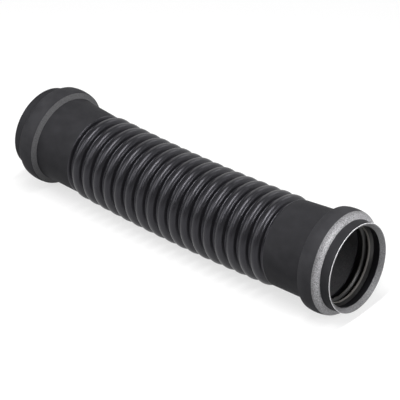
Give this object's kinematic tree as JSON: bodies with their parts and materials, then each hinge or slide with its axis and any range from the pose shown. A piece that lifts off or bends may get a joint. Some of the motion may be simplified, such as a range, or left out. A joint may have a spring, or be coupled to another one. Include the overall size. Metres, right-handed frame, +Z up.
{
  "type": "flexible waste connector",
  "caption": "Corrugated flexible drain coupling with a push-fit socket and a lip seal at each end, bent gently and lying on its side",
  "frame": {"origin": "middle of the underside box, on the surface that the tube rests on", "axes": "+X along the tube towards the front socket, +Z up, +Y to the left of +X; the tube sags between its beads, and the plane of its bend leans back from upright until the middle rib meets the surface beside the beads"},
  "size_m": [0.2678, 0.0662, 0.0662],
  "materials": {
    "moulded_body": "moulded dark anthracite plastic with a fine satin grain",
    "seal_rubber": "smooth black rubber with a slight lubricant sheen"
  },
  "bodies": {
    "root": {"connector_body": "moulded_body", "front_lip_seal": "seal_rubber", "rear_lip_seal": "seal_rubber"}
  },
  "joints": []
}
